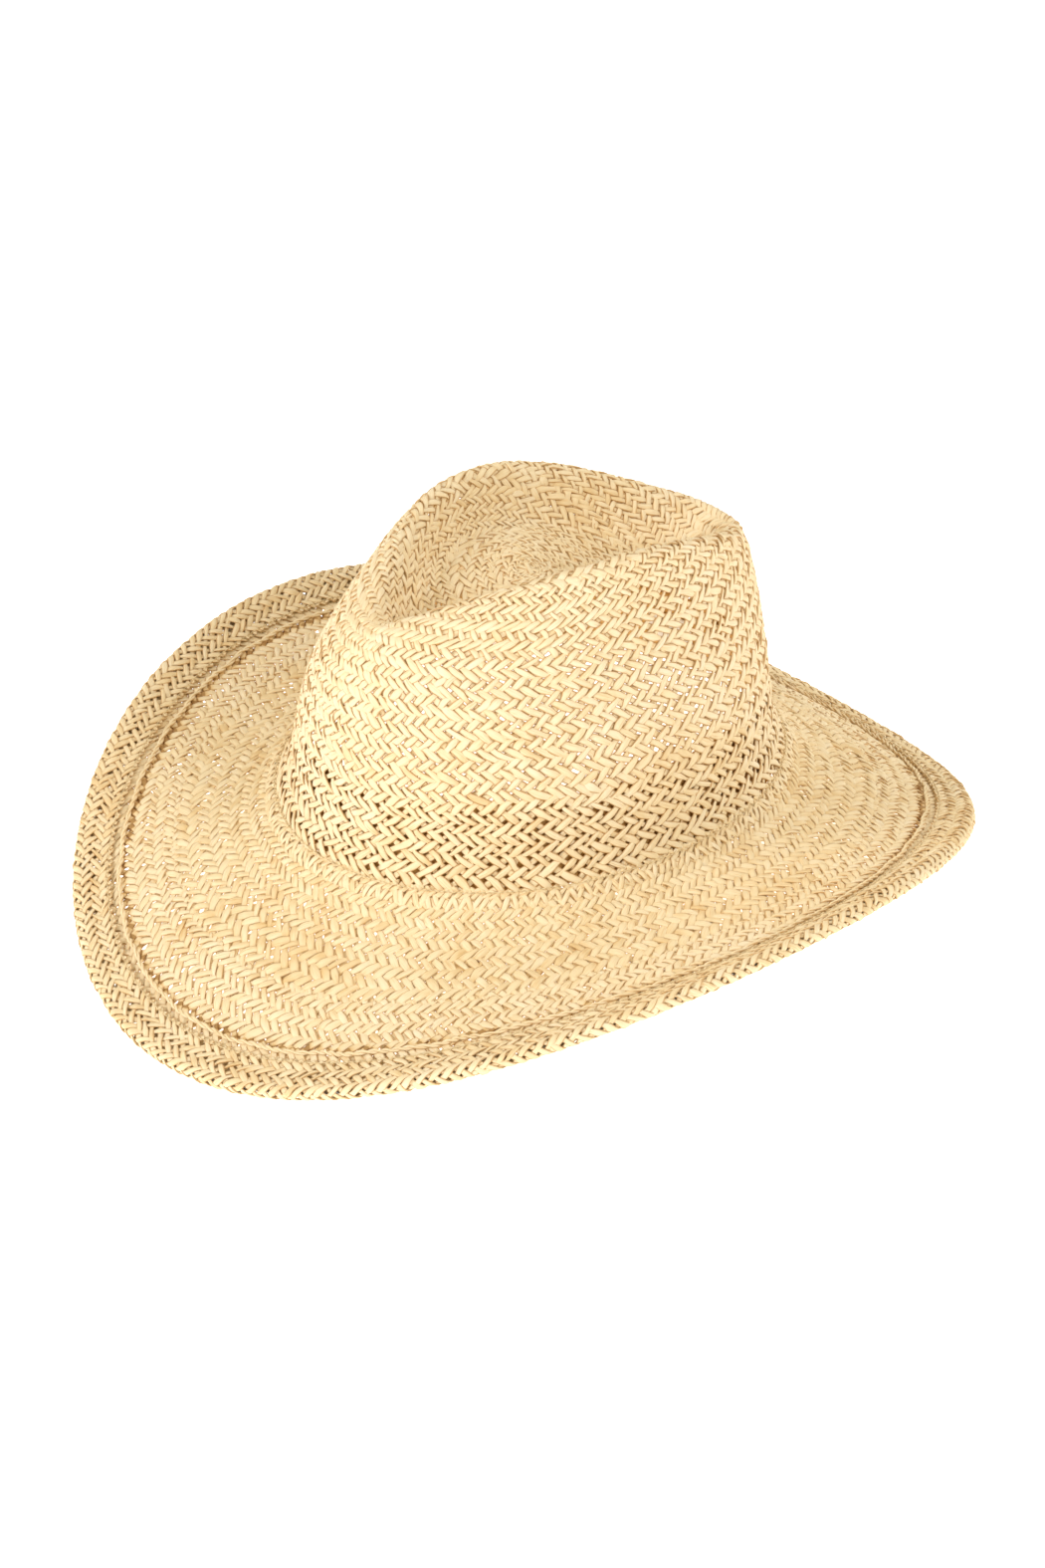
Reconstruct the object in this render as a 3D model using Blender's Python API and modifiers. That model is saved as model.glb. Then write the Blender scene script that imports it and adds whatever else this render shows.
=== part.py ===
"""A western hat woven in one piece from paper straw, with its wire, threads and sweatband.

Metres, +Z up. The front of the hat faces -Y, the hat is symmetric about X = 0, and it
stands on the front and back tips of its brim at Z = 0.

The woven cloth is one surface. It starts at the middle of the dent in the crown, climbs to
the crown's rim, runs down the wall, turns out into the brim, and at the brim's edge folds
up and back over the brim wire to make the hem. SECTIONS holds the rings that steer it.
"""

import math
from collections import namedtuple

import bmesh
import bpy
from mathutils import Vector

COLLECTION = "cowboy_hat"

# Driving dimensions, in metres
REST_HEIGHT = 0.04913  # the crown's base plane above the table
CLOTH = 0.0014  # thickness of the woven cloth
GAP = 0.0003  # clearance between pieces that touch
LOOSE = 0.0006  # clearance between flat pieces laid on a curved wall
FOLD_RADIUS = 0.0022  # of the cloth's middle, where the hem turns over the wire
HEM_WIDTH = 0.0165
HEM_SEAM = 0.0120  # from the fold to the hem's row of stitches
WIRE_RADIUS = 0.0008
JOINER_RADIUS = 0.0011
JOINER_LENGTH = 0.020
EDGE_CORD_RADIUS = 0.0011
THREAD_RADIUS = 0.0003
BAND = 0.0010  # thickness of the sweatband
TAB = 0.0006
LABEL = 0.0005

# Places on the cloth. A place runs from 0 at the middle of the dent to EDGE, section by section.
BAND_LOW = 7.60
BAND_HIGH = 6.25
BAND_SEAM = 7.50
CROWN_SEAM = 7.62
TAB_PLACES = (7.36, 6.40)
LABEL_PLACES = (7.25, 6.62)

BACK = math.radians(90)
TAB_HALF_ANGLE = math.radians(3.6)
LABEL_ANGLES = (math.radians(100), math.radians(114))
BAND_HALF_SLIT = math.radians(0.25)

COLUMNS = 48  # corners round each ring of the cloth
MAIN_ROWS = 26
FOLD_ROWS = 5
HEM_ROWS = 4

# One control ring of the cloth: half width in X, reach to the front and to the back in Y,
# heights over the crown's base at the sides, the front and the back, then how much wider
# the back is than the front, how much the two ends are drawn in, and the ring's shift in Y.
Section = namedtuple(
    "Section", "name half_width front back z_side z_front z_back taper pinch shift"
)
SECTIONS = (
    Section("dent middle", 0.0005, 0.0005, 0.0005, 0.0895, 0.0895, 0.0895, 0.00, 0.00, -0.006),
    Section("dent floor", 0.0230, 0.0420, 0.0520, 0.0920, 0.0820, 0.0725, 0.22, -0.38, -0.006),
    Section("dent foot", 0.0320, 0.0570, 0.0710, 0.0890, 0.0785, 0.0665, 0.22, -0.38, -0.006),
    Section("rim, inside", 0.0365, 0.0650, 0.0810, 0.1080, 0.0890, 0.0715, 0.22, -0.38, -0.006),
    Section("rim", 0.0440, 0.0755, 0.0958, 0.115, 0.096, 0.0803, 0.22, -0.37, -0.006),
    Section("shoulder", 0.0530, 0.0905, 0.0965, 0.0855, 0.0765, 0.086, 0.05, 0.00, -0.003),
    Section("wall", 0.0765, 0.0970, 0.0970, 0.045, 0.041, 0.038, 0.00, 0.00, 0.0),
    Section("wall foot", 0.0780, 0.0980, 0.0980, 0.019, 0.018, 0.018, 0.00, 0.00, 0.0),
    Section("break", 0.0880, 0.1080, 0.1080, 0.0005, -0.0035, -0.0035, 0.00, 0.00, 0.0),
    Section("brim, inner", 0.1100, 0.1310, 0.1310, -0.0025, -0.0155, -0.0155, 0.0, 0.0, 0.0),
    Section("brim, middle", 0.1355, 0.1575, 0.1575, -0.0005, -0.031, -0.031, 0.0, 0.0, 0.0),
    Section("edge", 0.1560, 0.1805, 0.1805, 0.0075, -0.048, -0.048, 0.0, -0.008, 0.0),
)
EDGE = len(SECTIONS) - 1


def ring_point(section, angle):
    """The point of one control ring in the direction of the angle, counted from +X towards +Y."""
    across = math.cos(angle)
    along = math.sin(angle)
    reach = section.back if along > 0 else section.front
    end_height = section.z_back if along > 0 else section.z_front
    narrowing = 1 + section.taper * along + section.pinch * along**2
    return Vector(
        (
            section.half_width * across * narrowing,
            section.shift + reach * along,
            REST_HEIGHT + section.z_side * across**2 + end_height * along**2,
        )
    )


def cloth_point(angle, place):
    """The middle of the cloth: a uniform cubic B-spline across the control rings."""
    first = min(int(place), EDGE - 1)
    part = place - first
    weights = (
        (1 - part) ** 3 / 6,
        (3 * part**3 - 6 * part**2 + 4) / 6,
        (-3 * part**3 + 3 * part**2 + 3 * part + 1) / 6,
        part**3 / 6,
    )
    point = Vector()
    for step, weight in enumerate(weights):
        index = first + step - 1
        if index < 0:
            control = 2 * ring_point(SECTIONS[0], angle) - ring_point(SECTIONS[1], angle)
        elif index > EDGE:
            control = 2 * ring_point(SECTIONS[-1], angle) - ring_point(SECTIONS[-2], angle)
        else:
            control = ring_point(SECTIONS[index], angle)
        point += weight * control
    return point


def cloth_frame(angle, place):
    """The point there, the direction that leads out along the cloth, and the outer normal."""
    small = 0.01
    low = max(place - small, 0)
    high = min(place + small, EDGE)
    outward = cloth_point(angle, high) - cloth_point(angle, low)
    around = cloth_point(angle + small, place) - cloth_point(angle - small, place)
    normal = outward.cross(around).normalized()
    return cloth_point(angle, place), outward.normalized(), normal


def lifted_point(angle, place, height):
    """A point over the cloth's middle by the height, or under it."""
    point, _, normal = cloth_frame(angle, place)
    return point + height * normal


def brim_place(angle, inset):
    """The place on the brim that lies this far in from the edge."""
    last_step = (cloth_point(angle, EDGE) - cloth_point(angle, EDGE - 1)).length
    return EDGE - inset / last_step


def hem_height(inset):
    """Height of the folded hem over the brim: full at the wire, and closed at the hem's end."""
    closed = CLOTH + 0.0004
    open_share = 0.5 + 0.5 * math.cos(math.pi * min(inset / HEM_SEAM, 1))
    return closed + (2 * FOLD_RADIUS - closed) * open_share


def fold_point(angle, turn):
    """A point of the fold, from -90 degrees on the brim, over the edge, to +90 on the hem."""
    point, outward, normal = cloth_frame(angle, EDGE)
    centre = point + FOLD_RADIUS * normal
    return centre + FOLD_RADIUS * (math.cos(turn) * outward + math.sin(turn) * normal)


def hem_point(angle, inset, over=0.0):
    return lifted_point(angle, brim_place(angle, inset), hem_height(inset) + over)


def wire_point(angle):
    point, _, normal = cloth_frame(angle, EDGE)
    return point + FOLD_RADIUS * normal


def ring_angles(count=COLUMNS):
    return [2 * math.pi * column / count for column in range(count)]


def wire_chord_point(angle):
    """The wire's middle on the straight stretch between two corners of the faceted cloth."""
    step = 2 * math.pi / COLUMNS
    corner = math.floor(angle / step) * step
    return wire_point(corner).lerp(wire_point(corner + step), (angle - corner) / step)


def make_material(name, color, roughness, metallic=0.0):
    material = bpy.data.materials.new(name)
    material.use_nodes = True
    shader = material.node_tree.nodes["Principled BSDF"]
    shader.inputs["Base Color"].default_value = (*color, 1)
    shader.inputs["Roughness"].default_value = roughness
    shader.inputs["Metallic"].default_value = metallic
    return material


def add_object(name, data, material):
    data.materials.append(material)
    obj = bpy.data.objects.new(name, data)
    bpy.data.collections[COLLECTION].objects.link(obj)
    return obj


def grid_mesh(name, rows, closed, pole=None):
    """A surface through rows of points, its faces turned to the outer normal."""
    shape = bmesh.new()
    grid = [[shape.verts.new(point) for point in row] for row in rows]
    for upper, lower in zip(grid, grid[1:]):
        for column in range(len(upper) if closed else len(upper) - 1):
            following = (column + 1) % len(upper)
            shape.faces.new(
                (upper[column], lower[column], lower[following], upper[following])
            )
    if pole is not None:
        tip = shape.verts.new(pole)
        for column in range(len(grid[0])):
            shape.faces.new((tip, grid[0][column], grid[0][(column + 1) % len(grid[0])]))
    mesh = bpy.data.meshes.new(name)
    shape.to_mesh(mesh)
    shape.free()
    mesh.shade_smooth()
    return mesh


def add_sheet(name, rows, thickness, material, closed=False, pole=None):
    """A sheet of even thickness, half on each side of the rows of points."""
    obj = add_object(name, grid_mesh(name, rows, closed, pole), material)
    shell = obj.modifiers.new("thickness", "SOLIDIFY")
    shell.thickness = thickness
    shell.offset = 0
    return obj


def add_tube(name, points, radius, material, closed=True):
    curve = bpy.data.curves.new(name, "CURVE")
    curve.dimensions = "3D"
    curve.bevel_depth = radius
    curve.bevel_resolution = 2
    curve.use_fill_caps = not closed
    spline = curve.splines.new("POLY")
    spline.points.add(len(points) - 1)
    for target, point in zip(spline.points, points):
        target.co = (*point, 1)
    spline.use_cyclic_u = closed
    return add_object(name, curve, material)


def add_woven_body(material):
    """Crown, brim and folded hem in one cloth."""
    angles = ring_angles()
    first_place = 0.45
    span = EDGE - first_place
    rows = []
    for row in range(MAIN_ROWS + 1):
        place = first_place + span * row / MAIN_ROWS
        rows.append([cloth_point(angle, place) for angle in angles])
    for row in range(1, FOLD_ROWS + 1):
        turn = math.pi * (row / FOLD_ROWS - 0.5)
        rows.append([fold_point(angle, turn) for angle in angles])
    for row in range(1, HEM_ROWS + 1):
        inset = HEM_WIDTH * row / HEM_ROWS
        rows.append([hem_point(angle, inset) for angle in angles])
    pole = cloth_point(0, 0)
    add_sheet("woven_body", rows, CLOTH, material, closed=True, pole=pole)


def add_brim_wire(wire_material, joiner_material):
    """A spring wire round the brim, whose ends meet in a joiner at the back."""
    reach = (wire_point(BACK)).to_2d().length
    half_joiner = JOINER_LENGTH / 2 / reach
    half_opening = half_joiner + GAP / reach
    inner_angles = [
        BACK + angle for angle in ring_angles() if half_opening < angle < 2 * math.pi - half_opening
    ]
    ends = (BACK + half_opening, BACK + 2 * math.pi - half_opening)
    route = [wire_chord_point(angle) for angle in (ends[0], *inner_angles, ends[1])]
    add_tube("brim_wire", route, WIRE_RADIUS, wire_material, closed=False)
    joiner = [wire_chord_point(BACK + half_joiner * share) for share in (-1, 0, 1)]
    add_tube("wire_joiner", joiner, JOINER_RADIUS, joiner_material, closed=False)


def add_hem_edge_cord(material):
    """The paper cord that closes the hem's inner edge."""
    inset = HEM_WIDTH + GAP + EDGE_CORD_RADIUS
    height = CLOTH / 2 + GAP + EDGE_CORD_RADIUS
    route = [lifted_point(a, brim_place(a, inset), height) for a in ring_angles()]
    add_tube("hem_edge_cord", route, EDGE_CORD_RADIUS, material)


def add_hem_threads(material):
    clear = CLOTH / 2 + GAP + THREAD_RADIUS
    top = [hem_point(angle, HEM_SEAM, clear) for angle in ring_angles()]
    under = [lifted_point(a, brim_place(a, HEM_SEAM), -clear) for a in ring_angles()]
    add_tube("hem_needle_thread", top, THREAD_RADIUS, material)
    add_tube("hem_bobbin_thread", under, THREAD_RADIUS, material)


def band_depth(over=0.0):
    """How far inside the cloth's middle the sweatband's middle lies, or a piece on its face."""
    return -(CLOTH / 2 + LOOSE + BAND / 2 + over)


def add_sweatband(material):
    """A strip round the inside of the crown's foot, its two ends butted at the back."""
    angles = [BACK + angle for angle in ring_angles()][1:]
    ends = (BACK + BAND_HALF_SLIT, BACK + 2 * math.pi - BAND_HALF_SLIT)
    angles = [ends[0], *angles, ends[1]]
    row_count = 5
    rows = []
    for row in range(row_count):
        place = BAND_HIGH + (BAND_LOW - BAND_HIGH) * row / (row_count - 1)
        rows.append([lifted_point(angle, place, band_depth()) for angle in angles])
    add_sheet("sweatband", rows, BAND, material)


def patch_rows(angles, places, depth, row_count=4, column_count=5):
    rows = []
    for row in range(row_count):
        place = places[1] + (places[0] - places[1]) * row / (row_count - 1)
        line = []
        for column in range(column_count):
            angle = angles[0] + (angles[1] - angles[0]) * column / (column_count - 1)
            line.append(lifted_point(angle, place, depth))
        rows.append(line)
    return rows


def add_sweatband_tab(material):
    """The short piece sewn over the butted ends."""
    depth = band_depth(BAND / 2 + LOOSE + TAB / 2)
    angles = (BACK - TAB_HALF_ANGLE, BACK + TAB_HALF_ANGLE)
    add_sheet("sweatband_tab", patch_rows(angles, TAB_PLACES, depth), TAB, material)


def add_size_label(material):
    depth = band_depth(BAND / 2 + LOOSE + LABEL / 2)
    add_sheet("size_label", patch_rows(LABEL_ANGLES, LABEL_PLACES, depth), LABEL, material)


def add_sweatband_threads(material):
    inside = band_depth(BAND / 2 + GAP + THREAD_RADIUS)
    outside = CLOTH / 2 + GAP + THREAD_RADIUS
    needle = [lifted_point(angle, BAND_SEAM, inside) for angle in ring_angles()]
    bobbin = [lifted_point(angle, CROWN_SEAM, outside) for angle in ring_angles()]
    add_tube("sweatband_needle_thread", needle, THREAD_RADIUS, material)
    add_tube("sweatband_bobbin_thread", bobbin, THREAD_RADIUS, material)


def main():
    for obj in list(bpy.data.objects):
        bpy.data.objects.remove(obj)
    collection = bpy.data.collections.new(COLLECTION)
    bpy.context.scene.collection.children.link(collection)

    straw = make_material("paper straw", (0.90, 0.72, 0.42), 0.7)
    cord = make_material("twisted paper cord", (0.92, 0.76, 0.48), 0.65)
    steel = make_material("spring steel wire", (0.55, 0.55, 0.56), 0.35, 1.0)
    sleeve = make_material("crimped steel sleeve", (0.62, 0.62, 0.63), 0.4, 1.0)
    thread = make_material("polyester thread", (0.88, 0.74, 0.50), 0.6)
    ribbon = make_material("ribbed sweatband cloth", (0.66, 0.48, 0.28), 0.85)
    tab = make_material("seam tab cloth", (0.60, 0.43, 0.25), 0.85)
    label = make_material("blank woven label", (0.93, 0.91, 0.86), 0.7)

    add_woven_body(straw)
    add_hem_edge_cord(cord)
    add_brim_wire(steel, sleeve)
    add_hem_threads(thread)
    add_sweatband(ribbon)
    add_sweatband_tab(tab)
    add_size_label(label)
    add_sweatband_threads(thread)


main()
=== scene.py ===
"""The looks of a western hat woven from paper straw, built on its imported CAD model.

The cloth is made of real strands, in two lays that cross over two and under two. They lie on
the same surface as the CAD cloth, which runs from the middle of the dent in the crown over the
rim, down the wall, out along the brim, round the brim wire, and back as the folded hem.
A place on it is an angle round the hat, counted from +X towards +Y, and a step along it: a
section's number from 0 at the dent to EDGE, one more round the fold, and one more for the hem.
"""

import math
from collections import namedtuple

import bpy
import numpy as np
from mathutils import Matrix, Vector


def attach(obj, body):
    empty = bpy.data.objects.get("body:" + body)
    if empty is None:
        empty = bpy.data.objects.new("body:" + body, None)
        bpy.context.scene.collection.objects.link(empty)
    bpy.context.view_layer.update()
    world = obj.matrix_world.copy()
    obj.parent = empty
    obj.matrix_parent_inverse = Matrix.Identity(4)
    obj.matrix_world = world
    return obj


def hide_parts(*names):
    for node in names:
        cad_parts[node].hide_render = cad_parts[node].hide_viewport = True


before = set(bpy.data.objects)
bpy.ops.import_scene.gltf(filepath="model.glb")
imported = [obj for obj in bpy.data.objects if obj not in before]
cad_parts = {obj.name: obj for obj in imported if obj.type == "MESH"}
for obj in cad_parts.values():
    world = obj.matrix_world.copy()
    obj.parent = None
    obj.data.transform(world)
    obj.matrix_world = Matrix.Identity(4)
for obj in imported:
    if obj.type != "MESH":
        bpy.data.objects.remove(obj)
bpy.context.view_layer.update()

rng = np.random.default_rng(1871)

# The CAD model's own dimensions, in metres
REST_HEIGHT = 0.04913
CLOTH = 0.0014
GAP = 0.0003
LOOSE = 0.0006
FOLD_RADIUS = 0.0022
HEM_WIDTH = 0.0165
HEM_SEAM = 0.0120
WIRE_RADIUS = 0.0008
JOINER_RADIUS = 0.0011
JOINER_LENGTH = 0.020
EDGE_CORD_RADIUS = 0.0011
THREAD_RADIUS = 0.0003
BAND = 0.0010
TAB = 0.0006
LABEL = 0.0005
BAND_LOW = 7.60
BAND_HIGH = 6.25
BAND_SEAM = 7.50
CROWN_SEAM = 7.62
TAB_PLACES = (7.36, 6.40)
LABEL_PLACES = (7.25, 6.62)
BACK = math.radians(90)
TAB_HALF_ANGLE = math.radians(3.6)
LABEL_ANGLES = (math.radians(100), math.radians(114))
BAND_HALF_SLIT = math.radians(0.25)

Section = namedtuple(
    "Section", "name half_width front back z_side z_front z_back taper pinch shift"
)
SECTIONS = (
    Section("dent middle", 0.0005, 0.0005, 0.0005, 0.0895, 0.0895, 0.0895, 0.00, 0.00, -0.006),
    Section("dent floor", 0.0230, 0.0420, 0.0520, 0.0920, 0.0820, 0.0725, 0.22, -0.38, -0.006),
    Section("dent foot", 0.0320, 0.0570, 0.0710, 0.0890, 0.0785, 0.0665, 0.22, -0.38, -0.006),
    Section("rim, inside", 0.0365, 0.0650, 0.0810, 0.1080, 0.0890, 0.0715, 0.22, -0.38, -0.006),
    Section("rim", 0.0440, 0.0755, 0.0958, 0.115, 0.096, 0.0803, 0.22, -0.37, -0.006),
    Section("shoulder", 0.0530, 0.0905, 0.0965, 0.0855, 0.0765, 0.086, 0.05, 0.00, -0.003),
    Section("wall", 0.0765, 0.0970, 0.0970, 0.045, 0.041, 0.038, 0.00, 0.00, 0.0),
    Section("wall foot", 0.0780, 0.0980, 0.0980, 0.019, 0.018, 0.018, 0.00, 0.00, 0.0),
    Section("break", 0.0880, 0.1080, 0.1080, 0.0005, -0.0035, -0.0035, 0.00, 0.00, 0.0),
    Section("brim, inner", 0.1100, 0.1310, 0.1310, -0.0025, -0.0155, -0.0155, 0.0, 0.0, 0.0),
    Section("brim, middle", 0.1355, 0.1575, 0.1575, -0.0005, -0.031, -0.031, 0.0, 0.0, 0.0),
    Section("edge", 0.1560, 0.1805, 0.1805, 0.0075, -0.048, -0.048, 0.0, -0.008, 0.0),
)
EDGE = len(SECTIONS) - 1
FOLD_END = EDGE + 1
HEM_END = EDGE + 2

# The weave. A row's station is its mean way along the cloth from the middle of the dent.
WEAVE_BREAK = 7.80  # the place where the crown's rows end and the brim's begin
STRAND_WIDTH = 0.00330
STRAND_THICKNESS = 0.00082
WAVE = 0.00043  # how far a strand's middle swings out of the cloth's middle
SAMPLES_PER_CROSSING = 2.5
SHARPNESS = 0.55  # of the turn from over to under: smaller is sharper
TUCK = 0.0048  # how far a zone's strands run on under the next zone's
# Stations, and a strand's rise along the cloth there for each unit that it runs round the hat
SLOPES = (
    (0.0, 0.62),
    (0.055, 0.74),
    (0.075, 0.84),
    (0.170, 0.76),
    (0.178, 1.02),
    (0.246, 1.04),
    (0.258, 0.80),
)
# Stations, and the most of the room between its neighbours that a strand takes up there
FILLS = (
    (0.0, 0.90),
    (0.060, 0.92),
    (0.138, 0.89),
    (0.143, 0.79),
    (0.171, 0.78),
    (0.178, 0.99),
    (0.240, 0.97),
    (0.2500, 0.87),
    (0.2575, 0.80),
    (0.300, 0.80),
)

# One zone of the weave: how many strands lie in each lay, the stations where they begin and end,
# how many pieces each lay is split into, how far a strand's painted side shade reaches (relief),
# how much the strands wander from even spacing, and how much deeper they are in tone than others,
# which is a painted shade over the whole zone (depth)
Zone = namedtuple("Zone", "name count start end pieces relief wander depth")
HEM_STATION = 0.2738  # where the hem ends
FOLD_STATION = 0.2535
ZONES = (
    Zone("tip_middle", 16, 0.0050, 0.0140, 1, 1.00, 1.0, 0.0),
    Zone("tip", 34, 0.0140, 0.0310, 1, 1.00, 1.0, 0.0),
    Zone("dent", 68, 0.0310, 0.0580, 1, 1.00, 1.0, 0.0),
    Zone("crown", 104, 0.0580, 0.1715, 1, 1.06, 1.0, 0.0),
    # the brim's depth is a painted shade over the whole zone
    Zone("brim", 178, 0.1715, 0.2160, 1, 0.88, 0.6, 0.35),
    Zone("hem", 236, 0.2160, HEM_STATION, 2, 1.00, 1.0, 0.0),
)

# How uneven the weave is. A step of a drift is in crossings.
SHORT_DRIFT = 2.0
SPACING_DRIFTS = ((SHORT_DRIFT, 0.11), (7.0, 0.06))  # in shares of a strand's spacing
RAGGED_ENDS = 0.8  # how far apart the strands begin and end, in crossings
WAVE_DRIFT = 0.24  # in shares of the wave
LIE_DRIFT = 0.00006  # up and down, in metres
ROLL_DRIFT = 0.22  # in how far the strands are turned about themselves
STRAND_SPREAD = 0.05  # in width, from strand to strand
WIDTH_DRIFT = 0.15
TONE_DRIFT = 0.22
FOLD_FLATTENING = 0.45  # of the strands' swing, where the fold presses on them
FOLD_REACH = 0.005
TUCK_DEPTH = 0.0011  # how far a strand's end dives under the next zone
TUCK_CROSSINGS = 1.9  # before the strand's end, where the dive begins
DIVE_CROSSINGS = 1.3  # that the dive takes
START_DEPTH = 0.0003
END_TAPER = 0.65  # of a strand's width and thickness that is lost at its ends
HEM_TAPER = 0.3  # the same where it ends with the hem
UNDER_SHADE_TONE = 0.22  # painted shade: how much deeper a strand is where it goes under
GROOVE_INSET = HEM_WIDTH + 0.0018  # from the edge to the painted shadow line along the hem's inner edge
GROOVE_WIDTH = 0.0010
GROOVE_SHADOW_TONE = 2.0  # of the painted shadow line, in tone


# ---------------------------------------------------------------- the cloth's surface


def section_table():
    """The sections as rows that the ring formula is linear in, with one more past each end."""
    rows = [
        (s.half_width, s.half_width * s.taper, s.half_width * s.pinch, *s[2:7], s.shift)
        for s in SECTIONS
    ]
    rows = np.array(rows)
    return np.vstack([2 * rows[0] - rows[1], rows, 2 * rows[-1] - rows[-2]])


SECTION_TABLE = section_table()


def cloth(angle, place):
    """Points on the middle of the cloth, for arrays of angles and places up to EDGE."""
    angle, place = np.broadcast_arrays(angle, place)
    first = np.minimum(place.astype(int), EDGE - 1)
    part = (place - first)[..., None]
    row = (
        (1 - part) ** 3 / 6 * SECTION_TABLE[first]
        + (3 * part**3 - 6 * part**2 + 4) / 6 * SECTION_TABLE[first + 1]
        + (-3 * part**3 + 3 * part**2 + 3 * part + 1) / 6 * SECTION_TABLE[first + 2]
        + part**3 / 6 * SECTION_TABLE[first + 3]
    )
    wide, taper, pinch, front, back, z_side, z_front, z_back, shift = np.moveaxis(row, -1, 0)
    across = np.cos(angle)
    along = np.sin(angle)
    reach = np.where(along > 0, back, front)
    end_height = np.where(along > 0, z_back, z_front)
    return np.stack(
        [
            (wide + taper * along + pinch * along**2) * across,
            shift + reach * along,
            REST_HEIGHT + z_side * across**2 + end_height * along**2,
        ],
        -1,
    )


def ease(share):
    share = np.clip(share, 0, 1)
    return share * share * (3 - 2 * share)


def unit(vectors):
    return vectors / np.maximum(np.linalg.norm(vectors, axis=-1, keepdims=True), 1e-12)


def running_length(points, axis):
    """How far each point is along its row of points, counted from the row's first."""
    steps = np.linalg.norm(np.diff(points, axis=axis), axis=-1)
    start = np.zeros_like(steps.take([0], axis=axis))
    return np.concatenate([start, np.cumsum(steps, axis=axis)], axis=axis)


def cloth_frame(angle, place):
    """The points there, the direction out along the cloth, and the cloth's outer normal."""
    small = 0.01
    outward = cloth(angle, np.minimum(place + small, EDGE)) - cloth(
        angle, np.maximum(place - small, 0)
    )
    around = cloth(angle + small, place) - cloth(angle - small, place)
    return cloth(angle, place), unit(outward), unit(np.cross(outward, around))


def lifted(angle, place, height):
    point, _, normal = cloth_frame(angle, place)
    return point + np.asarray(height)[..., None] * normal


def last_step(angle):
    return np.linalg.norm(cloth(angle, EDGE) - cloth(angle, EDGE - 1), axis=-1)


def brim_place(angle, inset):
    return EDGE - inset / last_step(angle)


def hem_height(inset):
    closed = CLOTH + 0.0004
    open_share = 0.5 + 0.5 * np.cos(math.pi * np.minimum(inset / HEM_SEAM, 1))
    return closed + (2 * FOLD_RADIUS - closed) * open_share


def hem_point(angle, inset, over=0.0):
    return lifted(angle, brim_place(angle, inset), hem_height(inset) + over)


def wire_point(angle):
    return lifted(angle, np.full_like(angle, EDGE), FOLD_RADIUS)


def sheet_point(angle, place):
    """Points on the cloth's middle all the way along it, round the fold and back in the hem."""
    angle, place = (x.copy() for x in np.broadcast_arrays(angle, place))
    point = cloth(angle, np.minimum(place, EDGE))
    fold = (place > EDGE) & (place <= FOLD_END)
    if fold.any():
        edge, outward, normal = cloth_frame(angle[fold], np.full(fold.sum(), float(EDGE)))
        turn = math.pi * (place[fold] - EDGE - 0.5)[:, None]
        point[fold] = edge + FOLD_RADIUS * (
            normal + np.cos(turn) * outward + np.sin(turn) * normal
        )
    hem = place > FOLD_END
    if hem.any():
        point[hem] = hem_point(angle[hem], HEM_WIDTH * (place[hem] - FOLD_END))
    return point


def sheet_normal(angle, place):
    """The normal that is the crown's outer one, and stays on the same face round the fold."""
    small = 0.006
    outward = sheet_point(angle, np.minimum(place + small, HEM_END)) - sheet_point(
        angle, np.maximum(place - small, 0)
    )
    around = sheet_point(angle + small, place) - sheet_point(angle - small, place)
    return unit(np.cross(outward, around))


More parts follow.
